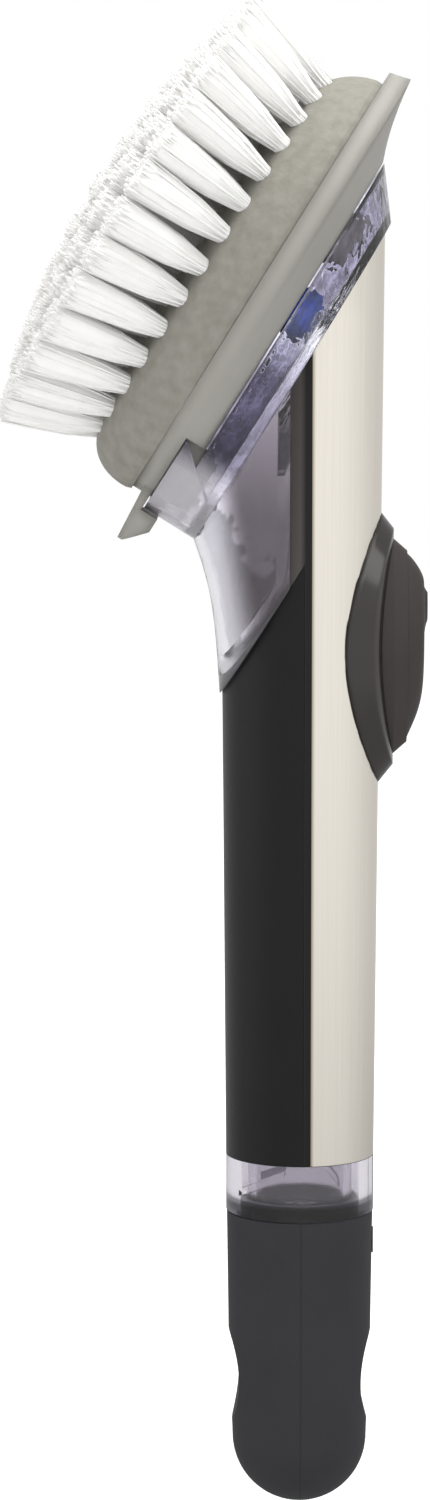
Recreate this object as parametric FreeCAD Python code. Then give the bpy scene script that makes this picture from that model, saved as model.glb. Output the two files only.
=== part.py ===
import FreeCAD, Part
import math
import os

from FreeCAD import Placement, Rotation, Vector

# Dish wand: a brush head on a handle that is also the soap tank, with a thumb pump and a screw filler cap.
# Millimetres and degrees. Z runs up the handle, the bristles face -X and the pump button faces +X.
# The origin is on the handle's axis, in the plane of the filler mouth.

# Fits shared by all pieces
overrun = 2.0
bond_gap = 0.05
running_gap = 0.08
free_gap = 0.3
seat_gap = 0.1

# Handle: a slightly tapered tube from the clear ring at its foot to the sloping plane under the head
ring_radius = 13.4
ring_height = 10.1
handle_top_radius = 14.6
head_height = 152.5
head_tilt = 32.0
cover_thickness = 1.65
steel_thickness = 0.6
tank_wall = 1.6
seam_x = 0.4
strip_width = 1.2
grip_drop = 18.7

# Clear neck between the handle and the collar
neck_start = 88.0
neck_half_width = 21.5
neck_wall = 2.2
neck_back_x = -2.35
neck_turn_shares = (0.12, 0.32, 0.66, 0.85, 1.0)
neck_reach_shares = (0.0, 0.05, 0.38, 0.69, 1.0)
neck_flare_shares = (0.0, 0.06, 0.3, 0.62, 1.0)

# Collar: the clear oval cup on the neck, in the head's own axes (along, across, out from the plane)
collar_low_end = 36.3
collar_foot_end = 29.9
collar_rim_end = 38.0
collar_half_width = 24.0
collar_flare = 2.0
collar_height = 6.55
collar_floor = 2.0
collar_wall = 1.8
lug_height = 3.9
lug_length = 14.8
cheek_foot = 1.8
cheek_foot_length = 7.4
cheek_proud = 0.5

# Soap outlet in the middle of the head
outlet_along = 7.7
spout_radius = 3.4
spout_bore = 1.5
spout_height = 6.2
valve_radius = 4.8
valve_lip = 1.2
valve_slit = 0.6
valve_lift = 0.6

# Head carrier: the grey skirt with the scraper lip and the release tab
carrier_low_end = 34.0
carrier_foot_end = 38.1
scraper_reach = 52.9
scraper_level = 10.4
scraper_mid_share = 0.35
scraper_mid_level_share = 0.5
carrier_top = 14.2
carrier_top_end = 51.9
carrier_foot_half_width = 25.5
carrier_half_width = 31.0
carrier_wall = 2.2
carrier_plate = 2.0
socket_wall = 1.5
socket_drop = 5.0
tongue_depth = 3.2
tongue_length = 12.0
tab_length = 9.3
tab_half_width = 8.0
tab_top_drop = 1.6
tab_root_drop = 6.8
tab_tip_thickness = 3.5
tab_flat_share = 0.4

# Bristle block: a domed oval block, by level and by how far each level draws in
block_centre = 7.5
block_half_length = 42.2
block_half_width = 30.6
block_height = 12.6
block_shoulder = 15.0
block_lean = 1.8
block_level_shares = (0.0, 0.08, 0.42, 0.62, 0.83, 1.0)
block_draw_shares = (0.012, 0.0, 0.075, 0.19, 0.48, 1.0)
soap_bore = 2.4

# Bristle tufts, in four oval rings round the soap outlet
tuft_floor = 3.4
tuft_root_radius = 1.75
tuft_tip_radius = 2.85
tuft_stand = 0.8
tuft_splay = 16.0
tip_height = 48.6
tip_drop = 6.4
tuft_centre = 8.3
ring_names = ("bristles_outer", "bristles_second", "bristles_third", "bristles_inner")
ring_counts = (30, 22, 16, 8)
outer_ring_half_length = 34.6
outer_ring_half_width = 23.2
ring_step = 7.0

# Pump: its axis runs along X through the back of the handle
pump_height = 102.4
pocket_floor = 7.2
pocket_plate = 1.5
pocket_wall = 1.4
button_half_length = 19.4
button_half_width = 8.2
bezel_inner_wall = 0.85
bezel_rim_radius = 16.6
bezel_rim_half_length = 21.2
bezel_rim_half_width = 9.75
bezel_foot_half_length = 32.4
bezel_foot_half_width = 12.0
bezel_foot_x = 7.7
gasket_thickness = 0.6
flange_thickness = 1.0
press_travel = 3.5

# Button, two tiers, with its crown nearer the head
button_shoulder_x = 16.5
button_tier_x = 19.0
tier_half_length = 17.2
tier_half_width = 6.7
crown_step = 0.45
crown_height = 3.7
crown_level_shares = (0.0, 0.3, 0.6, 0.83, 1.0)
crown_draw_shares = (0.0, 0.11, 0.25, 0.56, 0.85)
crown_lean = 7.2
crown_lean_shares = (0.0, 0.1, 0.2, 0.58, 1.0)

# Pump cylinder and what moves in it
cylinder_bore = 5.2
cylinder_wall = 1.2
chamber_floor_x = -3.5
cylinder_floor = 1.2
retainer_thickness = 1.2
piston_thickness = 2.4
piston_rest_gap = 0.3
stem_radius = 2.4
stem_head_radius = 4.5
stem_head_height = 1.8
seal_section = 0.6
spring_wire = 0.6
spring_radius = 3.8
spring_turns = 5
vent_radius = 0.4

# Inlet valve in the chamber's floor
inlet_disc_radius = 2.6
inlet_disc_thickness = 0.5
inlet_stem_radius = 0.7
inlet_knob_radius = 1.1
inlet_knob_height = 0.9
inlet_hole_radius = 0.5
inlet_hole_circle = 1.65
inlet_hole_count = 4

# Delivery duct from the chamber to the spout
port_x = -1.0
nipple_radius = 1.8
nipple_bore = 1.0
nipple_length = 5.0
duct_wall = 0.8

# Filler mouth, quick thread and cap
mouth_radius = 10.8
mouth_depth = 11.2
thread_lead = 28.8
thread_depth = 0.95
thread_width = 1.4
thread_sink = 0.4
thread_start = 3.9
ridge_turn = 50.0
lug_turn = 24.0
thread_starts = 2
plug_radius = 9.45
plug_wall = 1.5
plug_height = 10.4
plug_floor = 1.6
plug_stem_length = 24.0
plug_rib_radial = 0.25
plug_rib_width = 1.0
plug_rib_pitch = 2.0
core_flange_radius = 11.9
core_flange_thickness = 2.0
seal_height = 2.7
cap_radius = 13.25
cap_waist_radius = 12.95
cap_waist_depth = 22.0
cap_end_radius = 12.2
cap_length = 54.3
scallop_radius = 24.0
scallop_depth = 1.9
scallop_height = 31.5
mark_half_height = 2.4
mark_half_width = 1.5
mark_proud = 0.15
mark_depth = 6.0

# Worked out from the sizes above
reach = 2 * (head_height + cap_length)
tilt = math.radians(head_tilt)
head_place = Placement(Vector(0, 0, head_height), Rotation(Vector(0, 1, 0), head_tilt - 90))
pump_place = Placement(
    Vector(0, 0, pump_height), Rotation(Vector(0, 0, 1), Vector(0, -1, 0), Vector(1, 0, 0), "ZXY")
)
handle_slope = (handle_top_radius - ring_radius) / (head_height - ring_height)
handle_end = head_height + handle_top_radius / math.tan(tilt) + overrun
tank_inset = cover_thickness + bond_gap
flange_x = pocket_floor + gasket_thickness
flange_top = flange_x + flange_thickness
button_foot = flange_top + press_travel + free_gap
bezel_hole_half_length = button_half_length + free_gap
bezel_hole_half_width = button_half_width + free_gap
skirt_half_length = bezel_hole_half_length + bezel_inner_wall
skirt_half_width = bezel_hole_half_width + bezel_inner_wall
pocket_half_length = skirt_half_length + seat_gap
pocket_half_width = skirt_half_width + seat_gap
cylinder_radius = cylinder_bore + cylinder_wall
piston_top = flange_top - retainer_thickness - piston_rest_gap
piston_face = piston_top - piston_thickness
block_base = carrier_top


def placed(shape, placement):
    """The shape, carried from its own axes into the wand's."""
    moved = shape.copy()
    moved.Placement = placement.multiply(moved.Placement)
    return moved


def in_head(shape):
    return placed(shape, head_place)


def in_pump(shape):
    return placed(shape, pump_place)


def handle_radius(z):
    return ring_radius + handle_slope * (z - ring_height)


def handle_cone(inset, low, high):
    """The handle's outer surface, moved in by inset, as a solid between two heights."""
    return Part.makeCone(
        handle_radius(low) - inset, handle_radius(high) - inset, high - low, Vector(0, 0, low)
    )


def beyond(level):
    """Everything beyond the plane at this level out from the head plane."""
    return in_head(Part.makeBox(2 * reach, 2 * reach, 2 * reach, Vector(-reach, -reach, level)))


def block_x(low, high):
    """A slab that reaches everywhere between two values of x."""
    return Part.makeBox(high - low, 2 * reach, 2 * reach, Vector(low, -reach, -reach))


def oval(centre, level, half_length, half_width):
    """Ellipse at a level of z, its length along x and its width along y."""
    middle = Vector(centre, 0, level)
    along = middle + Vector(half_length, 0, 0)
    across = middle + Vector(0, half_width, 0)
    ends = (along, across) if half_length >= half_width else (across, along)
    return Part.Wire(Part.Ellipse(ends[0], ends[1], middle).toShape())


def oval_prism(centre, low, high, half_length, half_width):
    face = Part.Face(oval(centre, low, half_length, half_width))
    return face.extrude(Vector(0, 0, high - low))


def span_oval(level, low_end, high_end, half_width):
    """Ellipse from one end to the other along x."""
    return oval((high_end + low_end) / 2, level, (high_end - low_end) / 2, half_width)


def turned(points):
    """Solid turned about z from the corner points (radius, z) of its section."""
    corners = [Vector(radius, 0, z) for radius, z in points]
    section = Part.Face(Part.makePolygon(corners + corners[:1]))
    return section.revolve(Vector(0, 0, 0), Vector(0, 0, 1), 360)


def tube(outer, inner, low, high):
    return turned([(inner, low), (outer, low), (outer, high), (inner, high)])


def mix(first, last, share):
    return first + (last - first) * share


# Handle shells
def neck_loft(inset):
    """The neck: ovals on planes that swing from level to the head plane about the line where both meet."""
    hinge_along = (neck_start - head_height) / math.cos(tilt)
    hinge_x = hinge_along * math.sin(tilt)
    front_low = -hinge_x - handle_radius(neck_start)
    front_high = -collar_low_end - hinge_along
    sections = []
    for turn, grow, flare in zip(neck_turn_shares, neck_reach_shares, neck_flare_shares):
        angle = turn * (math.pi / 2 - tilt)
        run = Vector(math.cos(angle), 0, math.sin(angle))
        back_x = handle_radius(neck_start) - handle_slope * hinge_x * math.tan(angle)
        back_x = back_x / (1 - handle_slope * math.tan(angle))
        back = (back_x - hinge_x) / run.x
        front = mix(front_low, front_high, grow)
        half_length = (back - front) / 2 - inset
        half_width = mix(handle_radius(neck_start), neck_half_width, flare) - inset
        middle = Vector(hinge_x, 0, neck_start) + run * ((back + front) / 2)
        sections.append(
            Part.Wire(
                Part.Ellipse(
                    middle + run * half_length, middle + Vector(0, half_width, 0), middle
                ).toShape()
            )
        )
    return Part.makeLoft(sections, True, False)


def thread_bands(inner, outer, start, turn, first_angle):
    """Helical bands of the quick thread, one for each start."""
    bands = []
    for index in range(thread_starts):
        rise = thread_lead * turn / 360
        helix = Part.makeHelix(thread_lead, rise, inner)
        corners = [
            Vector(inner, 0, -thread_width / 2),
            Vector(outer, 0, -thread_width / 2),
            Vector(outer, 0, thread_width / 2),
            Vector(inner, 0, thread_width / 2),
        ]
        section = Part.makePolygon(corners + corners[:1])
        band = Part.Wire(helix.Edges).makePipeShell([section], True, True)
        band.translate(Vector(0, 0, start))
        band.rotate(Vector(0, 0, 0), Vector(0, 0, 1), first_angle + index * 360 / thread_starts)
        bands.append(band)
    return bands


def make_tank():
    outer = handle_cone(tank_inset, 0, handle_end)
    outer = outer.fuse(Part.makeCylinder(ring_radius, ring_height))
    neck = neck_loft(0).common(block_x(-reach, neck_back_x))
    neck = neck.common(beyond(bond_gap - grip_drop))
    outer = outer.fuse(neck)

    cavity = handle_cone(tank_inset + tank_wall, mouth_depth, handle_end)
    hollow = neck_loft(neck_wall).common(block_x(-reach, neck_back_x - neck_wall))
    hollow = hollow.common(beyond(neck_wall - grip_drop))
    cavity = cavity.fuse(hollow)
    outer = outer.cut(cavity)
    outer = outer.cut(Part.makeCylinder(mouth_radius, mouth_depth + overrun, Vector(0, 0, -overrun)))
    outer = outer.cut(beyond(0))

    boss = oval_prism(
        0,
        pocket_floor - pocket_plate,
        handle_top_radius,
        pocket_half_length + pocket_wall,
        pocket_half_width + pocket_wall,
    )
    boss = in_pump(boss).common(handle_cone(tank_inset, 0, handle_end))
    pocket = oval_prism(0, pocket_floor, 2 * handle_top_radius, pocket_half_length, pocket_half_width)
    bore = Part.makeCylinder(
        cylinder_radius + bond_gap, 2 * pocket_plate, Vector(0, 0, pocket_floor - 1.5 * pocket_plate)
    )
    outer = outer.fuse(boss).cut(in_pump(pocket)).cut(in_pump(bore))

    ridges = thread_bands(
        mouth_radius - thread_depth, mouth_radius + thread_sink, thread_start, ridge_turn, ridge_turn / 2
    )
    return outer.fuse(ridges).removeSplitter()


def window(extra):
    """Oval opening in the shells on the back, clear of the tank's pocket."""
    return in_pump(
        oval_prism(0, 0, 2 * handle_top_radius, pocket_half_length + extra, pocket_half_width + extra)
    )


def handle_shell(outer_inset, inner_inset):
    low = ring_height + seat_gap
    shell = handle_cone(outer_inset, low, handle_end).cut(handle_cone(inner_inset, low, handle_end))
    return shell.cut(beyond(-seat_gap))


def make_front_grip():
    shell = handle_shell(0, cover_thickness)
    return shell.common(block_x(-reach, seam_x - bond_gap)).cut(beyond(-grip_drop))


def make_back_liner():
    under = handle_shell(steel_thickness + bond_gap, cover_thickness).common(block_x(seam_x, reach))
    strip = handle_shell(0, cover_thickness)
    long_strip = strip.common(block_x(seam_x, seam_x + strip_width))
    cheek = strip.common(block_x(neck_back_x + bond_gap, seam_x + strip_width))
    cheek = cheek.common(beyond(bond_gap - grip_drop))
    liner = under.fuse([long_strip, cheek]).removeSplitter()
    return liner.cut(window(seat_gap))


def make_steel_cover():
    shell = handle_shell(0, steel_thickness)
    shell = shell.common(block_x(seam_x + strip_width + bond_gap, reach))
    return shell.cut(window(seat_gap))


# Pump
def make_button_bezel():
    foot = oval(0, bezel_foot_x, bezel_foot_half_length, bezel_foot_half_width)
    rim = oval(0, bezel_rim_radius, bezel_rim_half_length, bezel_rim_half_width)
    frame = in_pump(Part.makeLoft([foot, rim], True, True))
    low = pump_height - bezel_foot_half_length
    high = pump_height + bezel_foot_half_length
    top = Part.makeCylinder(bezel_rim_radius, high - low, Vector(0, 0, low))
    frame = frame.common(top).cut(handle_cone(-bond_gap, 0, handle_end))
    skirt = oval_prism(0, flange_top, bezel_rim_radius, skirt_half_length, skirt_half_width)
    skirt = in_pump(skirt).common(handle_cone(-overrun * bond_gap, 0, handle_end))
    hole = oval_prism(0, 0, 2 * bezel_rim_radius, bezel_hole_half_length, bezel_hole_half_width)
    return frame.fuse(skirt).cut(in_pump(hole)).removeSplitter()


def make_pump_gasket():
    ring = oval_prism(
        0, pocket_floor, flange_x, pocket_half_length - seat_gap, pocket_half_width - seat_gap
    )
    bore = Part.makeCylinder(cylinder_radius + seat_gap, flange_x, Vector(0, 0, pocket_floor / 2))
    return in_pump(ring.cut(bore))


def duct_line():
    """Ends of the duct's axis: in the chamber's middle, and under the spout."""
    low = Vector(port_x, 0, pump_height)
    high = head_place.multVec(Vector(outlet_along, 0, 0))
    run = high - low
    run.normalize()
    return low, high, run


def duct_top_gap(run):
    """How far the duct stops short of the spout's foot, so that its rim clears the sloping collar."""
    facing = run.dot(Vector(-math.cos(tilt), 0, math.sin(tilt)))
    slant = math.sqrt(1 - facing * facing) / facing
    return (nipple_radius + bond_gap + duct_wall) * slant + seat_gap


def make_pump_housing():
    flange = oval_prism(
        0, flange_x, flange_top, pocket_half_length - seat_gap, pocket_half_width - seat_gap
    )
    base = chamber_floor_x - cylinder_floor
    body = flange.fuse(Part.makeCylinder(cylinder_radius, flange_top - base, Vector(0, 0, base)))
    body = in_pump(body)
    low, high, run = duct_line()
    nipple = Part.makeCylinder(nipple_radius, cylinder_radius + nipple_length, low, run)
    body = body.fuse(nipple)
    chamber = Part.makeCylinder(
        cylinder_bore, flange_top - chamber_floor_x + overrun, Vector(0, 0, chamber_floor_x)
    )
    floor_depth = 2 * cylinder_floor
    holes = [Part.makeCylinder(inlet_stem_radius + bond_gap, floor_depth, Vector(0, 0, base - cylinder_floor / 2))]
    for index in range(inlet_hole_count):
        angle = 2 * math.pi * index / inlet_hole_count
        spot = Vector(inlet_hole_circle * math.cos(angle), inlet_hole_circle * math.sin(angle), base - cylinder_floor / 2)
        holes.append(Part.makeCylinder(inlet_hole_radius, floor_depth, spot))
    vent = Part.makeCylinder(
        vent_radius, 2 * cylinder_radius, Vector(0, 0, piston_top - vent_radius), Vector(-1, 0, 0)
    )
    body = body.cut([in_pump(chamber), in_pump(vent)] + [in_pump(hole) for hole in holes])
    drilled = Part.makeCylinder(nipple_bore, cylinder_radius + nipple_length + overrun, low, run)
    return body.cut(drilled).removeSplitter()


def make_piston_retainer():
    ring = tube(
        cylinder_bore - bond_gap, stem_radius + free_gap, flange_top - retainer_thickness, flange_top
    )
    return in_pump(ring)


def make_plunger():
    disc = cylinder_bore - free_gap
    groove = cylinder_bore - running_gap - 2 * seal_section - bond_gap
    middle = piston_face + piston_thickness / 2
    slot = seal_section + running_gap
    stem_end = button_foot + stem_head_height
    return in_pump(
        turned(
            [
                (0, piston_face),
                (disc, piston_face),
                (disc, middle - slot),
                (groove, middle - slot),
                (groove, middle + slot),
                (disc, middle + slot),
                (disc, piston_top),
                (stem_radius, piston_top),
                (stem_radius, button_foot),
                (stem_head_radius, button_foot),
                (stem_head_radius, stem_end),
                (0, stem_end),
            ]
        )
    )


def make_piston_seal():
    middle = piston_face + piston_thickness / 2
    radius = cylinder_bore - running_gap - seal_section
    return in_pump(Part.makeTorus(radius, seal_section, Vector(0, 0, middle)))


def make_return_spring():
    low = chamber_floor_x + spring_wire / 2 + bond_gap
    high = piston_face - spring_wire / 2 - bond_gap
    helix = Part.makeHelix((high - low) / spring_turns, high - low, spring_radius)
    section = Part.Wire(
        Part.Circle(Vector(spring_radius, 0, 0), Vector(0, 1, 0), spring_wire / 2).toShape()
    )
    coil = Part.Wire(helix.Edges).makePipeShell([section], True, True)
    coil.translate(Vector(0, 0, low))
    return in_pump(coil)


def make_inlet_valve():
    foot = chamber_floor_x - cylinder_floor
    return in_pump(
        turned(
            [
                (0, foot - inlet_knob_height),
                (inlet_stem_radius, foot - inlet_knob_height),
                (inlet_knob_radius, foot - bond_gap),
                (inlet_stem_radius, foot - bond_gap),
                (inlet_stem_radius, chamber_floor_x + bond_gap),
                (inlet_disc_radius, chamber_floor_x + bond_gap),
                (inlet_disc_radius - inlet_disc_thickness, chamber_floor_x + inlet_disc_thickness),
                (0, chamber_floor_x + 2 * inlet_disc_thickness),
            ]
        )
    )


def make_delivery_duct():
    low, high, run = duct_line()
    bore = nipple_radius + bond_gap
    start = low + run * (cylinder_radius + seat_gap + (bore + duct_wall) * abs(run.x / run.z))
    length = (high - start).dot(run) - duct_top_gap(run)
    outer = Part.makeCylinder(bore + duct_wall, length, start, run)
    return outer.cut(Part.makeCylinder(bore, length + 2 * overrun, start - run * overrun, run))


def make_button():
    foot_oval = oval(0, button_foot, button_half_length, button_half_width)
    body = Part.Face(foot_oval).extrude(Vector(0, 0, button_tier_x - button_foot))
    grow = (button_shoulder_x - button_foot) / (button_tier_x - button_shoulder_x)
    wide = oval(
        0,
        button_foot,
        button_half_length + grow * (button_half_length - tier_half_length),
        button_half_width + grow * (button_half_width - tier_half_width),
    )
    tier = oval(0, button_tier_x, tier_half_length, tier_half_width)
    body = body.common(Part.makeLoft([wide, tier], True, True))
    sections = []
    for level, draw, lean in zip(crown_level_shares, crown_draw_shares, crown_lean_shares):
        sections.append(
            oval(
                crown_lean * lean,
                button_tier_x - seat_gap + (crown_height + seat_gap) * level,
                (tier_half_length - crown_step) * (1 - draw),
                (tier_half_width - crown_step) * (1 - draw),
            )
        )
    body = body.fuse(Part.makeLoft(sections, True, False))
    socket = Part.makeCylinder(
        stem_head_radius + bond_gap,
        stem_head_height + bond_gap + overrun,
        Vector(0, 0, button_foot - overrun),
    )
    return in_pump(body.cut(socket))


# Head end
def collar_oval(level, inset):
    share = level / collar_height
    return span_oval(
        level,
        -collar_low_end + inset,
        mix(collar_foot_end, collar_rim_end, share) - inset,
        collar_half_width + collar_flare * share - inset,
    )


def lug_wedge():
    """The space on the lug's side of its slanting end, from the foot of the cheeks up."""
    lug_end = lug_length - collar_low_end
    top = collar_height + lug_height
    corners = [
        Vector(-reach, -reach, cheek_foot),
        Vector(cheek_foot_length - collar_low_end, -reach, cheek_foot),
        Vector(lug_end, -reach, top),
        Vector(lug_end, -reach, top + overrun),
        Vector(-reach, -reach, top + overrun),
    ]
    return Part.Face(Part.makePolygon(corners + corners[:1])).extrude(Vector(0, 2 * reach, 0))


def make_cheeks():
    """Raised flat faces on both sides of the lug, clear of the release tab between them."""
    foot_oval = collar_oval(cheek_foot, -cheek_proud)
    rim_oval = collar_oval(collar_height, -cheek_proud)
    cheeks = Part.makeLoft([foot_oval, rim_oval], True, True)
    cheeks = cheeks.fuse(Part.Face(rim_oval).extrude(Vector(0, 0, lug_height))).common(lug_wedge())
    half_space = tab_half_width + 2 * free_gap
    middle = Part.makeBox(2 * reach, 2 * half_space, 2 * reach, Vector(-reach, -half_space, -reach))
    return cheeks.cut(middle)


def make_head_collar():
    cup = Part.makeLoft([collar_oval(0, 0), collar_oval(collar_height, 0)], True, True)
    lug_face = Part.Face(collar_oval(collar_height, 0))
    lug = lug_face.extrude(Vector(0, 0, lug_height)).common(lug_wedge())
    cup = cup.fuse(make_cheeks())
    inside = Part.makeLoft(
        [collar_oval(collar_floor, collar_wall), collar_oval(collar_height, collar_wall)], True, True
    )
    lug_inside = Part.Face(collar_oval(collar_height, collar_wall)).extrude(Vector(0, 0, 2 * lug_height))
    cup = cup.fuse(lug).cut([inside, lug_inside])
    spout = Part.makeCylinder(spout_radius, spout_height, Vector(outlet_along, 0, 0))
    cup = in_head(cup.fuse(spout))
    low, high, run = duct_line()
    stub_length = duct_top_gap(run) + nipple_length
    stub = Part.makeCylinder(nipple_radius, stub_length + nipple_radius, high - run * stub_length, run)
    bore = Part.makeCylinder(spout_bore, spout_height + overrun, Vector(outlet_along, 0, nipple_bore))
    drilled = Part.makeCylinder(
        nipple_bore, stub_length + 2 * nipple_radius, high - run * (stub_length + nipple_radius), run
    )
    return cup.fuse(stub).cut([in_head(bore), drilled]).removeSplitter()


def make_outlet_valve():
    """Cap of blue silicone over the spout, with a slit in its crown."""
    base = collar_floor + valve_lift
    top = spout_height + bond_gap
    shell = turned(
        [
            (spout_radius + bond_gap, base),
            (valve_radius, base),
            (valve_radius, top),
            (valve_radius - valve_lip, top + valve_lip),
            (0, top + valve_lip),
            (0, top),
            (spout_radius + bond_gap, top),
        ]
    )
    slit = Part.makeBox(
        2 * spout_bore, valve_slit / 2, 2 * valve_lip, Vector(-spout_bore, -valve_slit / 4, top - valve_lip / 2)
    )
    shell = shell.cut(slit)
    shell.translate(Vector(outlet_along, 0, 0))
    return in_head(shell)


def tab_solid():
    """Release tab: over the lug's rim, then down outside it, with a rounded end."""
    top = carrier_top - tab_top_drop
    under = collar_height + lug_height + free_gap
    wall = -collar_low_end - free_gap
    root = carrier_top - tab_root_drop
    tip = -carrier_low_end - tab_length
    inner = -carrier_low_end + carrier_wall
    corners = [
        Vector(inner, 0, top),
        Vector(inner, 0, under),
        Vector(wall, 0, under),
        Vector(wall, 0, root),
        Vector(mix(wall, tip, tab_flat_share), 0, root),
        Vector(tip, 0, top - tab_tip_thickness + tab_tip_thickness / 2),
        Vector(tip, 0, top - tab_tip_thickness / 4),
    ]
    face = Part.Face(Part.makePolygon(corners + corners[:1]))
    face.translate(Vector(0, -tab_half_width, 0))
    tab = face.extrude(Vector(0, 2 * tab_half_width, 0))
    plan = oval_prism(
        inner, root - overrun, top + overrun, inner - tip, tab_half_width
    )
    return tab.common(plan)


def lug_clearance():
    """The space that the collar's lug takes up in the skirt, with room round it."""
    gap = collar_wall + free_gap
    end = lug_length - collar_low_end + free_gap
    top = collar_height + lug_height + free_gap
    space = Part.makeBox(reach, 2 * reach, reach + top, Vector(end - reach, -reach, -reach))
    inside = collar_oval(collar_height, gap)
    inside.translate(Vector(0, 0, -collar_height))
    return space.cut(Part.Face(inside).extrude(Vector(0, 0, 2 * top)))


def make_head_carrier():
    foot = collar_height + free_gap
    middle_end = mix(carrier_foot_end, scraper_reach, scraper_mid_share)
    middle_level = mix(foot, scraper_level, scraper_mid_level_share)
    middle_width = mix(carrier_foot_half_width, carrier_half_width, scraper_mid_level_share)
    foot_oval = span_oval(foot, -carrier_low_end, carrier_foot_end, carrier_foot_half_width)
    middle_oval = span_oval(middle_level, -carrier_low_end, middle_end, middle_width)
    lip_oval = span_oval(scraper_level, -carrier_low_end, scraper_reach, carrier_half_width)
    top_oval = span_oval(carrier_top, -carrier_low_end, carrier_top_end, carrier_half_width)
    skirt = Part.makeLoft([foot_oval, middle_oval, lip_oval], True, False)
    skirt = skirt.fuse(Part.makeLoft([lip_oval, top_oval], True, True))

    tongue = span_oval(
        foot - tongue_depth,
        collar_wall + free_gap - collar_low_end,
        collar_foot_end - collar_wall - free_gap,
        collar_half_width - collar_wall - free_gap,
    )
    tongues = Part.Face(tongue).extrude(Vector(0, 0, tongue_depth + carrier_wall))
    gap_low = -carrier_low_end + tongue_length
    gap_high = collar_foot_end - tongue_length
    tongues = tongues.cut(
        Part.makeBox(
            gap_high - gap_low,
            2 * reach,
            tongue_depth + overrun,
            Vector(gap_low, -reach, foot - tongue_depth - overrun),
        )
    )
    body = skirt.fuse(tongues).cut(lug_clearance())
    body = body.fuse(tab_solid())
    hollow = span_oval(
        foot - tongue_depth - overrun,
        carrier_wall - carrier_low_end,
        collar_foot_end - collar_wall - free_gap - carrier_wall,
        collar_half_width - collar_wall - free_gap - carrier_wall,
    )
    hollow_height = carrier_top - carrier_plate - foot + tongue_depth + overrun
    body = body.cut(Part.Face(hollow).extrude(Vector(0, 0, hollow_height)))
    socket_radius = valve_radius + free_gap
    socket = tube(
        socket_radius + socket_wall, socket_radius, carrier_top - carrier_plate - socket_drop, carrier_top
    )
    socket.translate(Vector(outlet_along, 0, 0))
    plate = Part.makeCylinder(
        socket_radius + overrun * bond_gap, carrier_plate, Vector(outlet_along, 0, carrier_top - carrier_plate)
    )
    bore = Part.makeCylinder(soap_bore, 2 * carrier_top, Vector(outlet_along, 0, 0))
    return in_head(body.fuse([socket, plate]).cut(bore).removeSplitter())


def ring_spots(index):
    """Evenly spaced places round one oval ring of tufts, with the share of the outermost ring's spread."""
    half_length = outer_ring_half_length - index * ring_step
    half_width = outer_ring_half_width - index * ring_step
    fine = 720
    angles = [2 * math.pi * k / fine for k in range(fine + 1)]
    lengths = [0]
    for before, after in zip(angles, angles[1:]):
        run_x = half_length * (math.cos(after) - math.cos(before))
        run_y = half_width * (math.sin(after) - math.sin(before))
        lengths.append(lengths[-1] + math.hypot(run_x, run_y))
    spots = []
    for k in range(ring_counts[index]):
        goal = lengths[-1] * k / ring_counts[index]
        place = next(i for i, length in enumerate(lengths) if length >= goal)
        spots.append((half_length * math.cos(angles[place]), half_width * math.sin(angles[place])))
    return spots


def tuft_axis(spot):
    """Foot, direction and length of one tuft, leaning out from the middle, up to the domed tip surface."""
    along = spot[0] / outer_ring_half_length
    across = spot[1] / outer_ring_half_width
    splay = math.tan(math.radians(tuft_splay))
    run = Vector(along * splay, across * splay, 1)
    run.normalize()
    foot = Vector(tuft_centre + spot[0], spot[1], block_base + tuft_floor)
    tip = tip_height - tip_drop * (along * along + across * across)
    return foot, run, (tip - foot.z) / run.z


def tuft_turn(run):
    return Rotation(Vector(0, 0, 1), run)


def make_tuft(spot):
    foot, run, length = tuft_axis(spot)
    straight = (block_height - tuft_floor + tuft_stand) / run.z
    tuft = turned(
        [
            (0, 0),
            (tuft_root_radius, 0),
            (tuft_root_radius, straight),
            (tuft_tip_radius, length),
            (0, length),
        ]
    )
    return in_head(placed(tuft, Placement(foot, tuft_turn(run))))


def make_bristle_block():
    sections = []
    for level, draw in zip(block_level_shares, block_draw_shares):
        sections.append(
            oval(
                block_centre - block_lean * level,
                block_base + block_height * level,
                block_half_length - block_shoulder * draw,
                block_half_width - block_shoulder * draw,
            )
        )
    foot = Part.makeLoft(sections[:2], True, True)
    block = foot.fuse(Part.makeLoft(sections[1:], True, False))
    holes = []
    for index in range(len(ring_names)):
        for spot in ring_spots(index):
            at, run, length = tuft_axis(spot)
            holes.append(Part.makeCylinder(tuft_root_radius + bond_gap, length, at, run))
    holes.append(Part.makeCylinder(soap_bore, tip_height, Vector(outlet_along, 0, 0)))
    return in_head(block.cut(holes))


# Cap
def make_cap_seal():
    low = -free_gap + bond_gap
    return tube(mouth_radius - running_gap, plug_radius + running_gap, low, low + seal_height)


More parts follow.
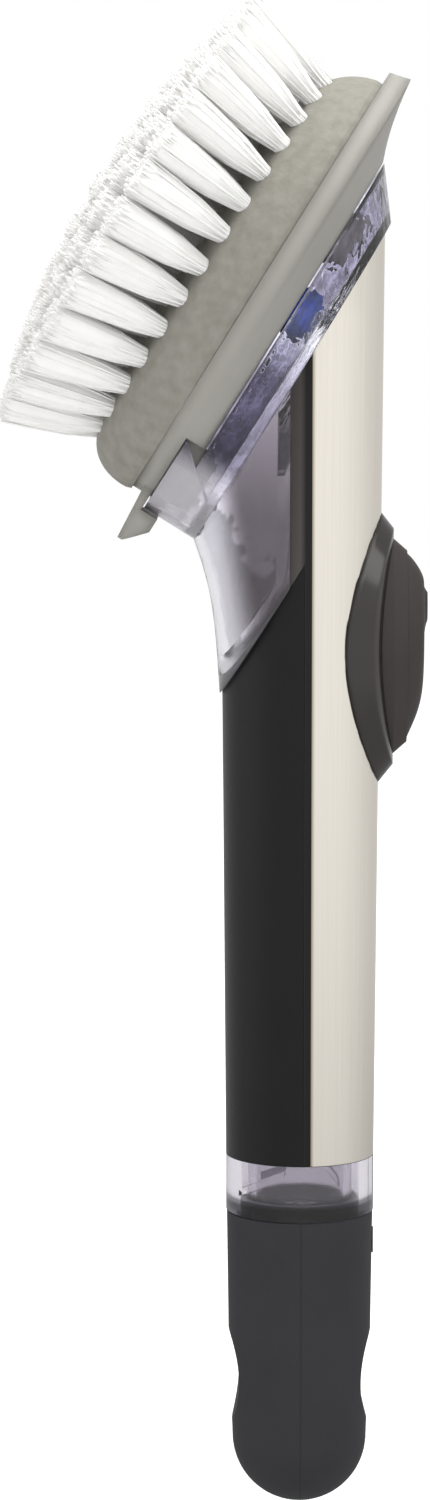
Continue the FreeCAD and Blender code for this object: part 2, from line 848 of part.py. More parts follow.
def make_cap_core():
    floor = -free_gap
    stem_end = floor - core_flange_thickness - plug_stem_length
    inner = plug_radius - plug_wall
    core = turned(
        [
            (0, stem_end),
            (plug_radius, stem_end),
            (plug_radius, floor - core_flange_thickness),
            (core_flange_radius, floor - core_flange_thickness),
            (core_flange_radius, floor),
            (plug_radius, floor),
            (plug_radius, plug_height),
            (inner, plug_height),
            (inner, floor),
            (0, floor),
        ]
    )
    well = Part.makeCylinder(inner, plug_stem_length, Vector(0, 0, stem_end - plug_floor))
    core = core.cut(well)
    lug_start = thread_start + thread_width + free_gap + thread_lead * (ridge_turn - lug_turn) / 360
    lugs = thread_bands(
        plug_radius - thread_sink,
        mouth_radius - free_gap,
        lug_start,
        lug_turn,
        ridge_turn / 2 + ridge_turn - lug_turn,
    )
    ribs = []
    for side in (-1, 1):
        for step in (-1, 0, 1):
            ribs.append(
                Part.makeBox(
                    plug_rib_width,
                    plug_wall / 2 + plug_rib_radial,
                    plug_height - seal_height - free_gap,
                    Vector(
                        step * plug_rib_pitch - plug_rib_width / 2,
                        plug_radius - plug_wall / 2,
                        seal_height + free_gap,
                    ),
                )
            )
            if side < 0:
                ribs[-1].rotate(Vector(0, 0, 0), Vector(0, 0, 1), 180)
    rim = Part.makeCylinder(plug_radius + plug_rib_radial, plug_height)
    ribs = [rib.common(rim) for rib in ribs]
    return core.fuse(lugs + ribs).removeSplitter()


def make_cap_grip():
    top = -free_gap
    centre = cap_end_radius - cap_length
    waist = Vector(cap_waist_radius, 0, -cap_waist_depth)
    shoulder = Vector(cap_end_radius, 0, centre)
    bottom = Vector(0, 0, -cap_length)
    bulge = Vector(cap_end_radius * math.sin(math.pi / 4), 0, centre - cap_end_radius * math.cos(math.pi / 4))
    corner = Vector(cap_radius, 0, top)
    edges = [
        Part.LineSegment(Vector(0, 0, top), corner).toShape(),
        Part.LineSegment(corner, waist).toShape(),
        Part.LineSegment(waist, shoulder).toShape(),
        Part.Arc(shoulder, bulge, bottom).toShape(),
        Part.LineSegment(bottom, Vector(0, 0, top)).toShape(),
    ]
    grip = Part.Face(Part.Wire(edges)).revolve(Vector(0, 0, 0), Vector(0, 0, 1), 360)
    mark = oval_prism(-mark_depth, 0, cap_radius + mark_proud, mark_half_height, mark_half_width)
    mark = placed(mark, Placement(Vector(0, 0, 0), pump_place.Rotation))
    grip = grip.fuse(mark.common(Part.makeCylinder(cap_radius + mark_proud, cap_length, Vector(0, 0, -cap_length))))
    for side in (-1, 1):
        offset = cap_waist_radius - scallop_depth + scallop_radius
        scallop = Part.makeCylinder(
            scallop_radius, 2 * reach, Vector(side * offset, -reach, -scallop_height), Vector(0, 1, 0)
        )
        grip = grip.cut(scallop)
    stem_depth = core_flange_thickness + plug_stem_length + free_gap
    flange_seat = Part.makeCylinder(
        core_flange_radius + bond_gap,
        core_flange_thickness + bond_gap + overrun,
        Vector(0, 0, top - core_flange_thickness - bond_gap),
    )
    stem_seat = Part.makeCylinder(plug_radius + bond_gap, stem_depth, Vector(0, 0, -stem_depth - bond_gap))
    return grip.cut([flange_seat, stem_seat])


pieces = {
    "tank": make_tank,
    "head_collar": make_head_collar,
    "front_grip": make_front_grip,
    "back_liner": make_back_liner,
    "steel_cover": make_steel_cover,
    "button_bezel": make_button_bezel,
    "pump_gasket": make_pump_gasket,
    "pump_housing": make_pump_housing,
    "piston_retainer": make_piston_retainer,
    "plunger": make_plunger,
    "piston_seal": make_piston_seal,
    "return_spring": make_return_spring,
    "inlet_valve": make_inlet_valve,
    "delivery_duct": make_delivery_duct,
    "button": make_button,
    "outlet_valve": make_outlet_valve,
    "head_carrier": make_head_carrier,
    "bristle_block": make_bristle_block,
    "cap_seal": make_cap_seal,
    "cap_core": make_cap_core,
    "cap_grip": make_cap_grip,
}

os.makedirs("parts", exist_ok=True)
for name, make in pieces.items():
    make().exportStep("parts/" + name + ".step")
for index, name in enumerate(ring_names):
    tufts = [make_tuft(spot) for spot in ring_spots(index)]
    Part.makeCompound(tufts).exportStep("parts/" + name + ".step")
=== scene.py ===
import math
import random

import bmesh
import bpy
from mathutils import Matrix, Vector


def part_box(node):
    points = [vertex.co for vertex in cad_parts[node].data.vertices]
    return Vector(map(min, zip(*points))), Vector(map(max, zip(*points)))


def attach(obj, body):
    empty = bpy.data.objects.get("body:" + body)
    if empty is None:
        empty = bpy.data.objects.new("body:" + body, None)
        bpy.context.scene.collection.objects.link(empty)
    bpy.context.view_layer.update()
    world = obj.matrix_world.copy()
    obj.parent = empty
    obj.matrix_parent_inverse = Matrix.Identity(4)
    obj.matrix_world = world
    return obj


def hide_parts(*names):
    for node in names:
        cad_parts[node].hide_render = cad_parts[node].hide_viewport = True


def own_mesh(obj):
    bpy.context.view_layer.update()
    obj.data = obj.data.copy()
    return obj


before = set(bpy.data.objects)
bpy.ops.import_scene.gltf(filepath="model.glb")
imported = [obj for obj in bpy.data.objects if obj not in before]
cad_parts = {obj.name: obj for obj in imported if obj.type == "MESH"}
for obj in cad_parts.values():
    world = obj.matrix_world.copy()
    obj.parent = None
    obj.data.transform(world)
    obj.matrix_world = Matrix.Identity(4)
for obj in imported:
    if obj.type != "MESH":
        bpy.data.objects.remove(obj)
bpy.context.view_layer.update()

# Dish wand: brush head on a clear soap tank with a steel back, a soft front grip, a thumb button and a cap.
# Metres, in the frame of the solids: Z up the handle, bristles to -X, button to +X, camera on the -Y side.
MM = 0.001
# The named sizes are in millimetres, apart from those of the room.
HEAD_HEIGHT = 152.5
HEAD_TILT = math.radians(32.0)
GRIP_DROP = 18.7
RING_HEIGHT = 10.1
# Heights on the tank: the cap's seal, the part hidden by the grip, and the clear neck.
SEAL_FADE = (1.9, 2.7)
HIDDEN_FADE = (50, 70)
NECK_FADE = (126, 150)
# Painted shade on the neck's back starts this far behind the axis and leans forward as it rises.
BACK_SHADE_FADE = (2.0, 9.0)
BACK_SHADE_LEAN = 0.15
GRIP_EDGE_FADE = 1.5
# The collar's reach down and up the head from the middle.
COLLAR_DOWN = 36
COLLAR_UP = 38
PLUG_WALL = (9.8, 10.0)
# The band from the steel's rolled edge where its painted reflection of the black grip fades.
GRIP_REFLECTION_BAND = (1.4, 2.4)
PARTING_LINE = (0.05, 0.25)
LINER_CHEEK = (-0.4, 0.6)
bpy.context.scene.view_settings.view_transform = "Standard"


def linear(code):
    """A hex colour as it is seen, as linear light."""
    parts = [int(code[i:i + 2], 16) / 255 for i in (1, 3, 5)]
    return [p / 12.92 if p <= 0.04045 else ((p + 0.055) / 1.055) ** 2.4 for p in parts] + [1]


def add(tree, kind, inputs=None, **settings):
    """One node with its settings, its constants and its links."""
    node = tree.nodes.new(kind)
    for name, value in settings.items():
        setattr(node, name, value)
    for name, value in (inputs or {}).items():
        if isinstance(value, bpy.types.NodeSocket):
            tree.links.new(value, node.inputs[name])
        else:
            node.inputs[name].default_value = value
    return node


def blank(name):
    """A new material with an empty tree, and the object's own coordinates in it."""
    material = bpy.data.materials.new(name)
    material.use_nodes = True
    tree = material.node_tree
    tree.nodes.clear()
    return material, tree, add(tree, "ShaderNodeTexCoord").outputs["Object"]


def per(size):
    """Pattern scale for features of this many millimetres."""
    return 1 / (size * MM)


def tank_copolyester():
    """Moulded clear copolyester: polished, with flow waves, and painted shade toward the liner at the neck's
    back and below the grip.
    """
    material, tree, place = blank("clear_copolyester_moulded")
    waves = add(tree, "ShaderNodeTexNoise", {"Vector": place, "Scale": per(9), "Detail": 2.0})
    axes = add(tree, "ShaderNodeSeparateXYZ", {"Vector": place}).outputs
    # Painted shade: the neck's wall darkens toward its back, by the liner behind it.
    slope = add(
        tree, "ShaderNodeMath", {0: axes["Z"], 1: BACK_SHADE_LEAN, 2: axes["X"]}, operation="MULTIPLY_ADD"
    )
    back_shade = add(
        tree,
        "ShaderNodeMapRange",
        {"Value": slope.outputs[0], "From Min": BACK_SHADE_FADE[0] * MM, "From Max": BACK_SHADE_FADE[1] * MM},
        interpolation_type="SMOOTHSTEP",
    )
    # Painted light: the neck's painted shade is lighter higher up, out of the collar's shadow.
    up_neck = add(
        tree,
        "ShaderNodeMapRange",
        {"Value": axes["Z"], "From Min": NECK_FADE[0] * MM, "From Max": NECK_FADE[1] * MM},
    )
    neck_shade = add(
        tree,
        "ShaderNodeMix",
        {"Factor": up_neck.outputs[0], "A": linear("#8a858c"), "B": linear("#b6b1b8")},
        data_type="RGBA",
    )
    neck = add(
        tree,
        "ShaderNodeMix",
        {"Factor": back_shade.outputs[0], "A": linear("#efeef3"), "B": neck_shade.outputs["Result"]},
        data_type="RGBA",
    )
    # The ring's foot shows the dark seal that presses against it from inside.
    seal_edge = add(
        tree,
        "ShaderNodeMapRange",
        {"Value": axes["Z"], "From Min": SEAL_FADE[0] * MM, "From Max": SEAL_FADE[1] * MM},
        interpolation_type="SMOOTHSTEP",
    )
    ring = add(
        tree,
        "ShaderNodeMix",
        {"Factor": seal_edge.outputs[0], "A": linear("#47454c"), "B": linear("#e2dfe6")},
        data_type="RGBA",
    )
    above_ring = add(
        tree,
        "ShaderNodeMapRange",
        {"Value": axes["Z"], "From Min": HIDDEN_FADE[0] * MM, "From Max": HIDDEN_FADE[1] * MM},
    )
    tint = add(
        tree,
        "ShaderNodeMix",
        {"Factor": above_ring.outputs[0], "A": ring.outputs["Result"], "B": neck.outputs["Result"]},
        data_type="RGBA",
    )
    # Below the grip's sloping edge the wall is matt, and painted dark with shade under the grip.
    past_edge = add(
        tree,
        "ShaderNodeVectorMath",
        {0: place, 1: (-math.cos(HEAD_TILT), 0, math.sin(HEAD_TILT))},
        operation="DOT_PRODUCT",
    )
    edge = HEAD_HEIGHT * math.sin(HEAD_TILT) - GRIP_DROP
    polish = add(
        tree,
        "ShaderNodeMapRange",
        {
            "Value": past_edge.outputs["Value"],
            "From Min": edge * MM,
            "From Max": (edge + GRIP_EDGE_FADE) * MM,
        },
    )
    on_ring = add(
        tree, "ShaderNodeMath", {0: axes["Z"], 1: RING_HEIGHT * MM}, operation="LESS_THAN"
    )
    open_wall = add(
        tree, "ShaderNodeMath", {0: polish.outputs[0], 1: on_ring.outputs[0]}, operation="MAXIMUM"
    )
    shaded_under_grip = add(
        tree,
        "ShaderNodeMix",
        {"Factor": open_wall.outputs[0], "A": linear("#2a292c"), "B": tint.outputs["Result"]},
        data_type="RGBA",
    )
    rough = add(
        tree, "ShaderNodeMapRange", {"Value": open_wall.outputs[0], "To Min": 0.45, "To Max": 0.03}
    )
    bump = add(tree, "ShaderNodeBump", {"Height": waves.outputs[0], "Distance": 0.05 * MM})
    skin = add(
        tree,
        "ShaderNodeBsdfPrincipled",
        {
            "Base Color": shaded_under_grip.outputs["Result"],
            "Roughness": rough.outputs[0],
            "IOR": 1.55,
            "Transmission Weight": 1.0,
            "Normal": bump.outputs[0],
        },
    )
    add(tree, "ShaderNodeOutputMaterial", {"Surface": skin.outputs[0]})
    return material


def collar_copolyester():
    """Clear moulded cup: milky at its lug, lavender along the doubled wall, with flow streaks and waves, and
    a near-white band of painted light where the blue valve shows through.
    """
    material, tree, place = blank("lavender_copolyester_moulded")
    waves = add(tree, "ShaderNodeTexNoise", {"Vector": place, "Scale": per(4), "Detail": 2.0})
    stretched = add(
        tree,
        "ShaderNodeMapping",
        {"Vector": place, "Rotation": (0, HEAD_TILT, 0), "Scale": (1, 1, 14)},
        vector_type="TEXTURE",
    )
    flow = add(tree, "ShaderNodeTexNoise", {"Vector": stretched.outputs[0], "Scale": per(1.3), "Detail": 3.0})
    streaks = add(
        tree,
        "ShaderNodeMapRange",
        {"Value": flow.outputs[0], "From Min": 0.38, "From Max": 0.62, "To Min": 0.5, "To Max": 1.2},
    )
    up_head = add(
        tree,
        "ShaderNodeVectorMath",
        {0: place, 1: (math.sin(HEAD_TILT), 0, math.cos(HEAD_TILT))},
        operation="DOT_PRODUCT",
    )
    start = HEAD_HEIGHT * math.cos(HEAD_TILT)
    along = add(
        tree,
        "ShaderNodeMapRange",
        {
            "Value": up_head.outputs["Value"],
            "From Min": (start - COLLAR_DOWN) * MM,
            "From Max": (start + COLLAR_UP) * MM,
        },
    )
    ramp = add(tree, "ShaderNodeValToRGB", {"Fac": along.outputs[0]})
    stops = ramp.color_ramp.elements
    # The tint's bands along the head; the near-white band over the blue valve is painted light that shows the
    # valve bright.
    tint_bands = {
        0.13: "#e6e3ea",
        0.2: "#706c80",
        0.42: "#8d899d",
        0.5: "#c4c2d4",
        0.57: "#f6f7ff",
        0.66: "#bfbccd",
        0.99: "#c4c2d2",
    }
    for share, code in tint_bands.items():
        stops.new(share).color = linear(code)
    # The ramp's own black and white ends go.
    stops.remove(stops[-1])
    stops.remove(stops[0])
    past_lug = add(
        tree, "ShaderNodeMapRange", {"Value": along.outputs[0], "From Min": 0.16, "From Max": 0.22}
    )
    tint = add(
        tree,
        "ShaderNodeMix",
        {"Factor": past_lug.outputs[0], "A": ramp.outputs[0], "B": streaks.outputs[0]},
        data_type="RGBA",
        blend_type="MULTIPLY",
    )
    clear_share = add(
        tree, "ShaderNodeMapRange", {"Value": past_lug.outputs[0], "To Min": 0.7, "To Max": 1.0}
    )
    round_edge = add(tree, "ShaderNodeBevel", {"Radius": 0.6 * MM}, samples=4)
    bump = add(
        tree,
        "ShaderNodeBump",
        {"Height": waves.outputs[0], "Distance": 0.35 * MM, "Normal": round_edge.outputs[0]},
    )
    skin = add(
        tree,
        "ShaderNodeBsdfPrincipled",
        {
            "Base Color": tint.outputs["Result"],
            "Roughness": 0.03,
            "IOR": 1.55,
            "Transmission Weight": clear_share.outputs[0],
            "Normal": bump.outputs[0],
        },
    )
    add(tree, "ShaderNodeOutputMaterial", {"Surface": skin.outputs[0]})
    return material


def plug_polypropylene():
    """Natural moulded polypropylene: slightly milky, with flow clouds, and it lets light through; its thread
    lugs carry painted shade.
    """
    material, tree, place = blank("natural_polypropylene_moulded")
    clouds = add(tree, "ShaderNodeTexNoise", {"Vector": place, "Scale": per(5), "Detail": 2.0})
    tint = add(
        tree,
        "ShaderNodeMix",
        {"Factor": clouds.outputs[0], "A": linear("#dddbe0"), "B": linear("#e9e8eb")},
        data_type="RGBA",
    )
    # The thread lugs stand out past the plug's wall; they are painted dark, as shade that makes them look
    # dark from the side.
    flat = add(tree, "ShaderNodeVectorMath", {0: place, 1: (1, 1, 0)}, operation="MULTIPLY")
    from_axis = add(tree, "ShaderNodeVectorMath", {0: flat.outputs[0]}, operation="LENGTH")
    lug = add(
        tree,
        "ShaderNodeMapRange",
        {"Value": from_axis.outputs["Value"], "From Min": PLUG_WALL[0] * MM, "From Max": PLUG_WALL[1] * MM},
    )
    shaded = add(
        tree,
        "ShaderNodeMix",
        {"Factor": lug.outputs[0], "A": tint.outputs["Result"], "B": linear("#4b4955")},
        data_type="RGBA",
    )
    skin = add(
        tree,
        "ShaderNodeBsdfPrincipled",
        {"Base Color": shaded.outputs["Result"], "Roughness": 0.06, "IOR": 1.5, "Transmission Weight": 1.0},
    )
    add(tree, "ShaderNodeOutputMaterial", {"Surface": skin.outputs[0]})
    return material


def brushed_stainless():
    """Stainless sheet brushed along the handle: streaks drawn 0.5 mm wide to show, and a painted dark
    reflection of the black grip on its rolled edge.
    """
    material, tree, place = blank("stainless_sheet_brushed")
    along = add(tree, "ShaderNodeMapping", {"Vector": place, "Scale": (1, 1, 0.012)})
    streaks = add(
        tree, "ShaderNodeTexNoise", {"Vector": along.outputs[0], "Scale": per(0.5), "Detail": 4.0}
    )
    tint = add(
        tree,
        "ShaderNodeMix",
        {"Factor": streaks.outputs[0], "A": linear("#e6e0d5"), "B": linear("#f4efe5")},
        data_type="RGBA",
    )
    across = add(tree, "ShaderNodeSeparateXYZ", {"Vector": place})
    # Painted reflection: the rolled edge beside the grip is darkened as if it mirrored the black grip.
    edge = add(
        tree,
        "ShaderNodeMapRange",
        {"Value": across.outputs["X"], "From Min": GRIP_REFLECTION_BAND[0] * MM, "From Max": GRIP_REFLECTION_BAND[1] * MM},
        interpolation_type="SMOOTHSTEP",
    )
    grip_reflection = add(
        tree,
        "ShaderNodeMix",
        {"Factor": edge.outputs[0], "A": linear("#85785c"), "B": tint.outputs["Result"]},
        data_type="RGBA",
    )
    rough = add(
        tree, "ShaderNodeMapRange", {"Value": streaks.outputs[0], "To Min": 0.26, "To Max": 0.42}
    )
    bump = add(tree, "ShaderNodeBump", {"Height": streaks.outputs[0], "Distance": 0.006 * MM})
    skin = add(
        tree,
        "ShaderNodeBsdfPrincipled",
        {
            "Base Color": grip_reflection.outputs["Result"],
            "Metallic": 1.0,
            "Roughness": rough.outputs[0],
            "Anisotropic": 0.5,
            "Normal": bump.outputs[0],
        },
    )
    add(tree, "ShaderNodeOutputMaterial", {"Surface": skin.outputs[0]})
    return material


def soft_elastomer(name, low, high, rough, sheen=0.0, parting=0.0):
    """Overmoulded elastomer: dull, with a grain drawn 0.6 mm wide to show, and at times a parting line."""
    material, tree, place = blank(name)
    clouds = add(tree, "ShaderNodeTexNoise", {"Vector": place, "Scale": per(14), "Detail": 3.0})
    grain = add(tree, "ShaderNodeTexNoise", {"Vector": place, "Scale": per(0.6), "Detail": 2.0})
    across = add(tree, "ShaderNodeSeparateXYZ", {"Vector": place})
    off_line = add(tree, "ShaderNodeMath", {0: across.outputs["X"]}, operation="ABSOLUTE")
    line = add(
        tree,
        "ShaderNodeMapRange",
        {
            "Value": off_line.outputs[0],
            "From Min": PARTING_LINE[0] * MM,
            "From Max": PARTING_LINE[1] * MM,
            "To Min": 1 - parting,
        },
    )
    tint = add(
        tree,
        "ShaderNodeMix",
        {"Factor": clouds.outputs[0], "A": linear(low), "B": linear(high)},
        data_type="RGBA",
    )
    lined = add(
        tree,
        "ShaderNodeMix",
        {"Factor": line.outputs[0], "A": linear("#0a0a0b"), "B": tint.outputs["Result"]},
        data_type="RGBA",
    )
    soft_edge = add(tree, "ShaderNodeBevel", {"Radius": 0.3 * MM}, samples=4)
    bump = add(
        tree,
        "ShaderNodeBump",
        {"Height": grain.outputs[0], "Distance": 0.02 * MM, "Normal": soft_edge.outputs[0]},
    )
    skin = add(
        tree,
        "ShaderNodeBsdfPrincipled",
        {
            "Base Color": lined.outputs["Result"],
            "Roughness": rough,
            "IOR": 1.49,
            "Specular IOR Level": 0.22,
            "Sheen Weight": sheen,
            "Sheen Roughness": 0.4,
            "Normal": bump.outputs[0],
        },
    )
    add(tree, "ShaderNodeOutputMaterial", {"Surface": skin.outputs[0]})
    return material


def polished_abs():
    """High-gloss black ABS, with the faint waves of a hand-polished mould."""
    material, tree, place = blank("black_abs_polished")
    waves = add(tree, "ShaderNodeTexNoise", {"Vector": place, "Scale": per(7), "Detail": 2.0})
    tint = add(
        tree,
        "ShaderNodeMix",
        {"Factor": waves.outputs[0], "A": linear("#1f1c1a"), "B": linear("#282422")},
        data_type="RGBA",
    )
    soft_edge = add(tree, "ShaderNodeBevel", {"Radius": 0.8 * MM}, samples=4)
    bump = add(
        tree,
        "ShaderNodeBump",
        {"Height": waves.outputs[0], "Distance": 0.03 * MM, "Normal": soft_edge.outputs[0]},
    )
    skin = add(
        tree,
        "ShaderNodeBsdfPrincipled",
        {
            "Base Color": tint.outputs["Result"],
            "Roughness": 0.14,
            "IOR": 1.54,
            "Normal": bump.outputs[0],
        },
    )
    add(tree, "ShaderNodeOutputMaterial", {"Surface": skin.outputs[0]})
    return material


def moulded_plastic(name, low, high, rough, grain_size, depth, patch_size=5.0, edge_radius=0.3):
    """Moulded plastic: cloudy colour, a spark-eroded grain of this size and depth, and softened edges."""
    material, tree, place = blank(name)
    clouds = add(tree, "ShaderNodeTexNoise", {"Vector": place, "Scale": per(patch_size), "Detail": 4.0})
    grain = add(tree, "ShaderNodeTexNoise", {"Vector": place, "Scale": per(grain_size), "Detail": 3.0})
    tint = add(
        tree,
        "ShaderNodeMix",
        {"Factor": clouds.outputs[0], "A": linear(low), "B": linear(high)},
        data_type="RGBA",
    )
    soft_edge = add(tree, "ShaderNodeBevel", {"Radius": edge_radius * MM}, samples=4)
    bump = add(
        tree,
        "ShaderNodeBump",
        {"Height": grain.outputs[0], "Distance": depth * MM, "Normal": soft_edge.outputs[0]},
    )
    skin = add(
        tree,
        "ShaderNodeBsdfPrincipled",
        {
            "Base Color": tint.outputs["Result"],
            "Roughness": rough,
            "IOR": 1.49,
            "Normal": bump.outputs[0],
        },
    )
    add(tree, "ShaderNodeOutputMaterial", {"Surface": skin.outputs[0]})
    return material


def liner_abs():
    """Moulded ABS: fine grain, greyer on the cheek under the collar, and painted black with shade in the slit
    beside the steel.
    """
    material, tree, place = blank("black_abs_grained")
    grain = add(tree, "ShaderNodeTexNoise", {"Vector": place, "Scale": per(0.5), "Detail": 3.0})
    across = add(tree, "ShaderNodeSeparateXYZ", {"Vector": place})
    # Painted shade: the liner is near black in the slit beside the steel, greyer on the cheek.
    cheek = add(
        tree,
        "ShaderNodeMapRange",
        {"Value": across.outputs["X"], "From Min": LINER_CHEEK[0] * MM, "From Max": LINER_CHEEK[1] * MM},
    )
    tint = add(
        tree,
        "ShaderNodeMix",
        {"Factor": cheek.outputs[0], "A": linear("#45413f"), "B": linear("#0b0a0a")},
        data_type="RGBA",
    )
    bump = add(tree, "ShaderNodeBump", {"Height": grain.outputs[0], "Distance": 0.02 * MM})
    skin = add(
        tree,
        "ShaderNodeBsdfPrincipled",
        {
            "Base Color": tint.outputs["Result"],
            "Roughness": 0.45,
            "IOR": 1.54,
            "Specular IOR Level": 0.25,
            "Normal": bump.outputs[0],
        },
    )
    add(tree, "ShaderNodeOutputMaterial", {"Surface": skin.outputs[0]})
    return material


def drawn_wire():
    """Drawn stainless wire: bright, with fine die marks."""
    material, tree, place = blank("stainless_wire_drawn")
    marks = add(tree, "ShaderNodeTexNoise", {"Vector": place, "Scale": per(0.4), "Detail": 2.0})
    rough = add(tree, "ShaderNodeMapRange", {"Value": marks.outputs[0], "To Min": 0.2, "To Max": 0.35})
    skin = add(
        tree,
        "ShaderNodeBsdfPrincipled",
        {"Base Color": linear("#c9c5be"), "Metallic": 1.0, "Roughness": rough.outputs[0]},
    )
    add(tree, "ShaderNodeOutputMaterial", {"Surface": skin.outputs[0]})
    return material


def valve_silicone():
    """Moulded blue silicone: satin, and it lets a little light in."""
    material, tree, place = blank("blue_silicone_moulded")
    clouds = add(tree, "ShaderNodeTexNoise", {"Vector": place, "Scale": per(3), "Detail": 2.0})
    tint = add(
        tree,
        "ShaderNodeMix",
        {"Factor": clouds.outputs[0], "A": linear("#2058ff"), "B": linear("#5a92ff")},
        data_type="RGBA",
    )
    skin = add(
        tree,
        "ShaderNodeBsdfPrincipled",
        {
            "Base Color": tint.outputs["Result"],
            "Roughness": 0.35,
            "IOR": 1.41,
            "Subsurface Weight": 0.2,
            "Subsurface Scale": 1.0 * MM,
        },
    )
    add(tree, "ShaderNodeOutputMaterial", {"Surface": skin.outputs[0]})
    return material


def nylon_filament():
    """Extruded nylon: white, slightly see-through, with a satin sheen along each filament."""
    material, tree, place = blank("white_nylon_extruded")
    clouds = add(tree, "ShaderNodeTexNoise", {"Vector": place, "Scale": per(2), "Detail": 2.0})
    tint = add(
        tree,
        "ShaderNodeMix",
        {"Factor": clouds.outputs[0], "A": linear("#ebeae8"), "B": linear("#f1f0ee")},
        data_type="RGBA",
    )
    skin = add(
        tree,
        "ShaderNodeBsdfPrincipled",
        {
            "Base Color": tint.outputs["Result"],
            "Roughness": 0.4,
            "IOR": 1.53,
            "Subsurface Weight": 0.4,
            "Subsurface Radius": (1.0, 1.0, 1.0),
            "Subsurface Scale": 0.1 * MM,
        },
    )
    add(tree, "ShaderNodeOutputMaterial", {"Surface": skin.outputs[0]})
    return material


clear = tank_copolyester()
collar_clear = collar_copolyester()
plug_clear = plug_polypropylene()
steel = brushed_stainless()
grip_rubber = soft_elastomer("black_tpe_satin", "#0c0c0d", "#131314", 0.5, sheen=0.12)
cap_rubber = soft_elastomer("charcoal_tpe_matt", "#28272a", "#323134", 0.6, parting=0.3)
button_rubber = soft_elastomer("charcoal_tpe_satin", "#332f2e", "#3b3735", 0.5)
gloss_black = polished_abs()
liner_black = liner_abs()
pump_black = moulded_plastic("black_acetal_moulded", "#191817", "#232120", 0.45, 0.5, 0.02)
skirt_grey = moulded_plastic("grey_polypropylene_satin", "#8f8d86", "#999791", 0.45, 0.7, 0.015, 9.0, 4.0)
block_grey = moulded_plastic("grey_polypropylene_textured", "#6f6d62", "#939189", 0.6, 0.7, 0.09, 2.2)
pump_white = moulded_plastic("natural_acetal_moulded", "#dedcd6", "#e8e6e1", 0.35, 0.8, 0.01)
seal_black = moulded_plastic("black_nitrile_moulded", "#1c1c20", "#27272d", 0.5, 0.6, 0.02)
spring_wire = drawn_wire()
blue_silicone = valve_silicone()
nylon = nylon_filament()

finishes = {
    "tank": clear,
    "head_collar": collar_clear,
    "cap_core": plug_clear,
    "front_grip": grip_rubber,
    "back_liner": liner_black,
    "steel_cover": steel,
    "button_bezel": gloss_black,
    "button": button_rubber,
    "pump_gasket": seal_black,
    "pump_housing": pump_black,
    "piston_retainer": pump_black,
    "plunger": pump_white,
    "piston_seal": seal_black,
    "inlet_valve": blue_silicone,
    "outlet_valve": blue_silicone,
    "delivery_duct": pump_white,
    "head_carrier": skirt_grey,
    "bristle_block": block_grey,
    "cap_seal": seal_black,
    "cap_grip": cap_rubber,
}
for name, material in finishes.items():
    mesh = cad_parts[name].data
    mesh.materials.clear()
    mesh.materials.append(material)
# Clear plastic lets the light through to the pieces behind it.
for name in ("tank", "head_collar", "cap_core"):
    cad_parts[name].visible_shadow = False

# Bristles: each tuft of the solids becomes a bundle of separate nylon filaments in its hole.
UP_HEAD = Vector((math.sin(HEAD_TILT), 0, math.cos(HEAD_TILT)))
OUT_OF_HEAD = Vector((-math.cos(HEAD_TILT), 0, math.sin(HEAD_TILT)))
TUFT_FLOOR = 17.6
TUFT_SPLAY = math.tan(math.radians(16.0))
TUFT_CENTRE = 8.3
RING_HALF_LENGTH = 34.6
RING_HALF_WIDTH = 23.2
RING_STEP = 7.0
TIP_HEIGHT = 48.6
TIP_DROP = 6.4
ROOT_RADIUS = 1.6
TIP_RADIUS = 3.7
# The innermost tufts stand close together and open less.
INNER_FULLNESS = 0.68
BLOCK_FACE = 24.0
FILAMENTS = 96
FILAMENT_RADIUS = 0.2
FILAMENT_SIDES = 5
# Each filament differs a little: in turn, length, opening and lean; the outer ones end lower.
TURN_SCATTER = 0.2
LENGTH_SCATTER = (-0.6, 0.4)
OUTER_DROP = 0.6
OPENING_SCATTER = (0.95, 1.03)
LEAN_SCATTER = 0.22
# How filaments crowd to the tuft's surface, and how soon the tuft opens out.
CROWDING = 0.3
OPENING_CURVE = 0.55
TUFT_SEED = 11
OVAL_STEPS = 720
MIDDLE_SIDES = 12
# The dense middle: share of the free length, and radius.
MIDDLE_SHAPE = (
    (0.0, 1.66), (0.36, 2.86), (0.68, 3.37), (0.86, 3.5), (0.93, 3.3), (0.958, 2.7), (0.97, 1.6)
)
GOLDEN_ANGLE = math.pi * (3 - math.sqrt(5))
tuft_rings = {"bristles_outer": 30, "bristles_second": 22, "bristles_third": 16, "bristles_inner": 8}


def on_head(point):
    """A place in millimetres up the head, across it and out of it, in the frame in metres."""
    up, across, out = point
    return (Vector((0, across, HEAD_HEIGHT)) + UP_HEAD * up + OUT_OF_HEAD * out) * MM


def ring_spots(index, count):
    """Evenly spaced tuft holes round one oval ring."""
    half_length = RING_HALF_LENGTH - index * RING_STEP
    half_width = RING_HALF_WIDTH - index * RING_STEP
    turns = [k * math.tau / OVAL_STEPS for k in range(OVAL_STEPS + 1)]
    corners = [Vector((half_length * math.cos(t), half_width * math.sin(t))) for t in turns]
    run = [0.0]
    for a, b in zip(corners, corners[1:]):
        run.append(run[-1] + (b - a).length)
    goals = [run[-1] * k / count for k in range(count)]
    return [corners[next(i for i, r in enumerate(run) if r >= goal)] for goal in goals]


def filament(shell, points):
    """One thin rod along a few points, closed at both ends."""
    loops = []
    for index, point in enumerate(points):
        ahead = points[min(index + 1, len(points) - 1)] - points[max(index - 1, 0)]
        turn = Vector((0, 0, 1)).rotation_difference(ahead)
        loop = []
        for side in range(FILAMENT_SIDES):
            angle = side * math.tau / FILAMENT_SIDES
            offset = turn @ Vector((math.cos(angle), math.sin(angle), 0))
            loop.append(shell.verts.new(on_head(point + offset * FILAMENT_RADIUS)))
        loops.append(loop)
    for low, high in zip(loops, loops[1:]):
        for side in range(FILAMENT_SIDES):
            after = (side + 1) % FILAMENT_SIDES
            shell.faces.new((low[side], low[after], high[after], high[side])).smooth = True
    shell.faces.new(loops[0][::-1])
    shell.faces.new(loops[-1])


